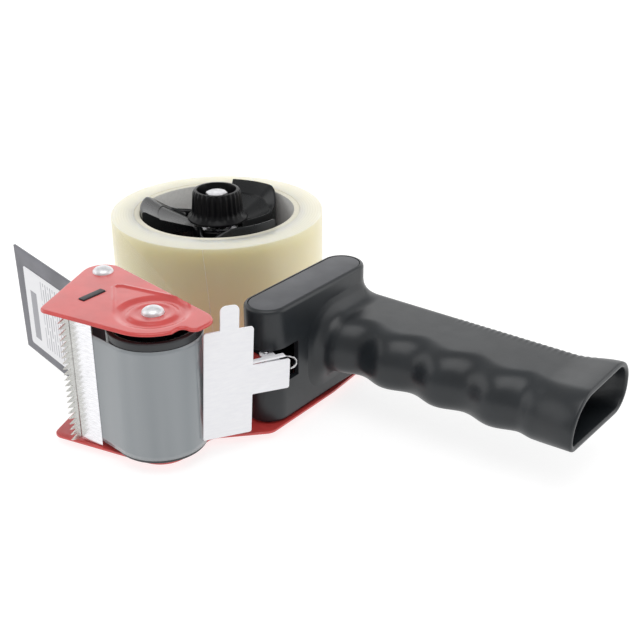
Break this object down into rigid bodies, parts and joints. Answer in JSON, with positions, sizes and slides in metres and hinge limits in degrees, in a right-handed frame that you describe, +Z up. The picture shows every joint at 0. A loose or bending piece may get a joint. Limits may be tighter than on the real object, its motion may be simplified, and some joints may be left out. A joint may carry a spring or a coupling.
{
  "type": "packing tape dispenser",
  "caption": "Hand-held packing-tape gun: red steel side frame and cheek plate, black pistol grip, braked hub with a roll of clear tape, roller, serrated blade, wiper and sprung retaining flap.",
  "frame": {"origin": "on the hub's axis, at the surface that the dispenser lies on (underside of the hub bolt's head)", "axes": "+X runs along the pistol grip away from the roll, +Y runs from the cutting head towards the roll, +Z is up along the hub and roller axes"},
  "size_m": [0.2722, 0.1932, 0.0664],
  "materials": {
    "blade": "bright spring steel",
    "blade_plate": "polished",
    "brake_knob": "black moulding, fluted rim",
    "brake_spring": "zinc plated",
    "cheek_plate": "gloss red enamel, embossed",
    "flap": "polished steel sheet",
    "flap_pin": "zinc plated",
    "flap_spring": "zinc plated",
    "friction_washer": "pressed fibre",
    "handle": "satin black moulding",
    "handle_cap": "fine textured black",
    "handle_screw_1": "zinc plated",
    "handle_screw_2": "zinc plated",
    "hub": "gloss black moulding",
    "hub_bolt": "zinc plated",
    "hub_nut": "zinc plated",
    "paper_core": "wound paper",
    "pressure_washer": "zinc plated",
    "rear_pillar": "zinc plated",
    "rear_rivet": "zinc plated",
    "roller": "moulded, dark grey",
    "roller_axle": "zinc plated",
    "roller_spacer": "moulded",
    "roller_washer": "zinc plated",
    "side_frame": "gloss red enamel",
    "tape_roll": "wound clear film, cream sheen",
    "tape_web": "clear film",
    "wiper": "satin grey sheet",
    "wiper_foot": "satin grey sheet",
    "wiper_label": "coated paper"
  },
  "bodies": {
    "frame": {"side_frame": "side_frame", "cheek_plate": "cheek_plate", "rear_pillar": "rear_pillar", "rear_rivet": "rear_rivet", "roller_axle": "roller_axle", "roller_washer": "roller_washer", "roller_spacer": "roller_spacer", "blade": "blade", "blade_plate": "blade_plate", "wiper_foot": "wiper_foot", "tape_web": "tape_web", "hub_bolt": "hub_bolt", "friction_washer": "friction_washer", "pressure_washer": "pressure_washer", "brake_spring": "brake_spring", "handle": "handle", "handle_cap": "handle_cap", "handle_screw_1": "handle_screw_1", "handle_screw_2": "handle_screw_2", "flap_pin": "flap_pin"},
    "reel": {"hub": "hub", "paper_core": "paper_core", "tape_roll": "tape_roll"},
    "roller": {"roller": "roller"},
    "knob": {"brake_knob": "brake_knob", "hub_nut": "hub_nut"},
    "flap": {"flap": "flap", "flap_spring": "flap_spring"},
    "wiper": {"wiper": "wiper", "wiper_label": "wiper_label"}
  },
  "joints": [
    {"name": "hub_spin", "type": "hinge", "parent": "frame", "child": "reel", "pos_m": [0, 0, 0.03], "axis": [0, 0, 1], "continuous": true},
    {"name": "roller_spin", "type": "hinge", "parent": "frame", "child": "roller", "pos_m": [0.0713, -0.1156, 0.03], "axis": [0, 0, 1], "continuous": true},
    {"name": "knob_turn", "type": "hinge", "parent": "frame", "child": "knob", "pos_m": [0, 0, 0.057], "axis": [0, 0, 1], "range_deg": [-180, 180]},
    {"name": "flap_swing", "type": "hinge", "parent": "frame", "child": "flap", "pos_m": [0.097, -0.0793, 0.0315], "axis": [0, 0, 1], "range_deg": [0, 25], "stiffness_Nm_per_rad": 0.05},
    {"name": "wiper_flex", "type": "hinge", "parent": "frame", "child": "wiper", "pos_m": [0.03945, -0.11317, 0.03], "axis": [0, 0, 1], "range_deg": [-8, 8], "stiffness_Nm_per_rad": 0.08}
  ],
  "couplings": [
    {"joint": "roller_spin", "follows": "hub_spin", "ratio": -2.7628}
  ]
}
